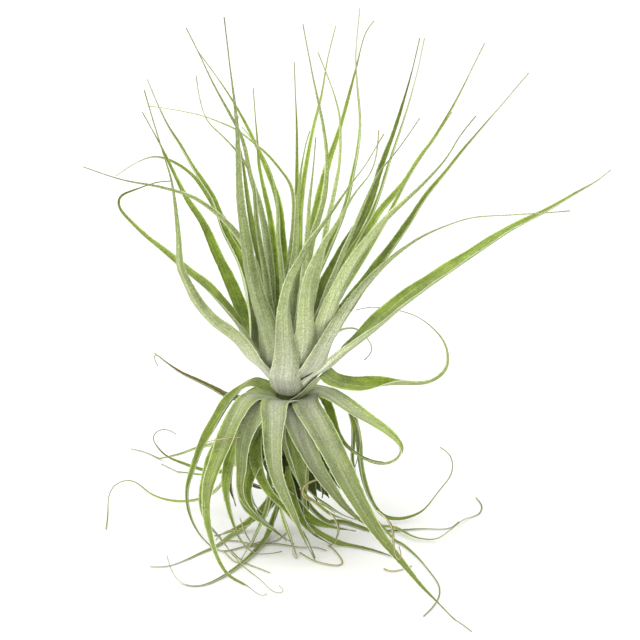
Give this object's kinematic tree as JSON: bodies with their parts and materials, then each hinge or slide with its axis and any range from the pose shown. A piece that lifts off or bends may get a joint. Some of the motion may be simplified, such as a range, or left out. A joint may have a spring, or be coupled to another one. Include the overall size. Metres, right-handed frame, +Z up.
{
  "type": "tillandsia gardneri",
  "caption": "Air plant with long narrow silvery green leaves, the upper ones fanned upwards and the lower ones bent down as legs it rests on.",
  "frame": {"origin": "centre of the bounding box in X and Y, on the surface that the plant rests on", "axes": "+Z up from the surface, +X to the right and -Y towards the viewer of the picture"},
  "size_m": [0.262, 0.2192, 0.2911],
  "materials": {
    "leaf": "Fresh green blade under a felt of fine silvery scales, with pale edges; matt.",
    "dry_leaf": "Old leaf, olive at its base and dry tan brown towards its tip; matt.",
    "stem": "Short pale brown stem, matt, hidden by the leaf bases."
  },
  "bodies": {
    "root": {"heart_01": "leaf", "heart_02": "leaf", "heart_03": "leaf", "heart_04": "leaf", "heart_05": "leaf", "heart_06": "leaf", "heart_07": "leaf", "heart_08": "leaf", "heart_09": "leaf", "heart_10": "leaf", "heart_11": "leaf", "heart_12": "leaf", "middle_01": "leaf", "middle_02": "leaf", "middle_03": "leaf", "middle_04": "leaf", "middle_05": "leaf", "middle_06": "leaf", "middle_07": "leaf", "middle_08": "leaf", "outer_01": "leaf", "outer_02": "leaf", "outer_03": "leaf", "outer_04": "leaf", "outer_05": "leaf", "outer_06": "leaf", "outer_07": "leaf", "outer_08": "leaf", "outer_09": "leaf", "outer_10": "leaf", "outer_11": "leaf", "outer_12": "leaf", "outer_13": "leaf", "outer_14": "leaf", "outer_15": "leaf", "skirt_01": "leaf", "skirt_02": "leaf", "skirt_03": "leaf", "skirt_04": "leaf", "skirt_05": "leaf", "skirt_06": "leaf", "skirt_07": "leaf", "skirt_08": "leaf", "skirt_09": "leaf", "skirt_10": "leaf", "skirt_11": "leaf", "skirt_12": "leaf", "skirt_13": "leaf", "skirt_14": "leaf", "skirt_15": "leaf", "skirt_16": "leaf", "skirt_17": "leaf", "skirt_18": "leaf", "skirt_19": "leaf", "skirt_20": "dry_leaf", "skirt_21": "leaf", "skirt_22": "leaf", "skirt_23": "leaf", "skirt_24": "leaf", "stem": "stem"}
  },
  "joints": []
}
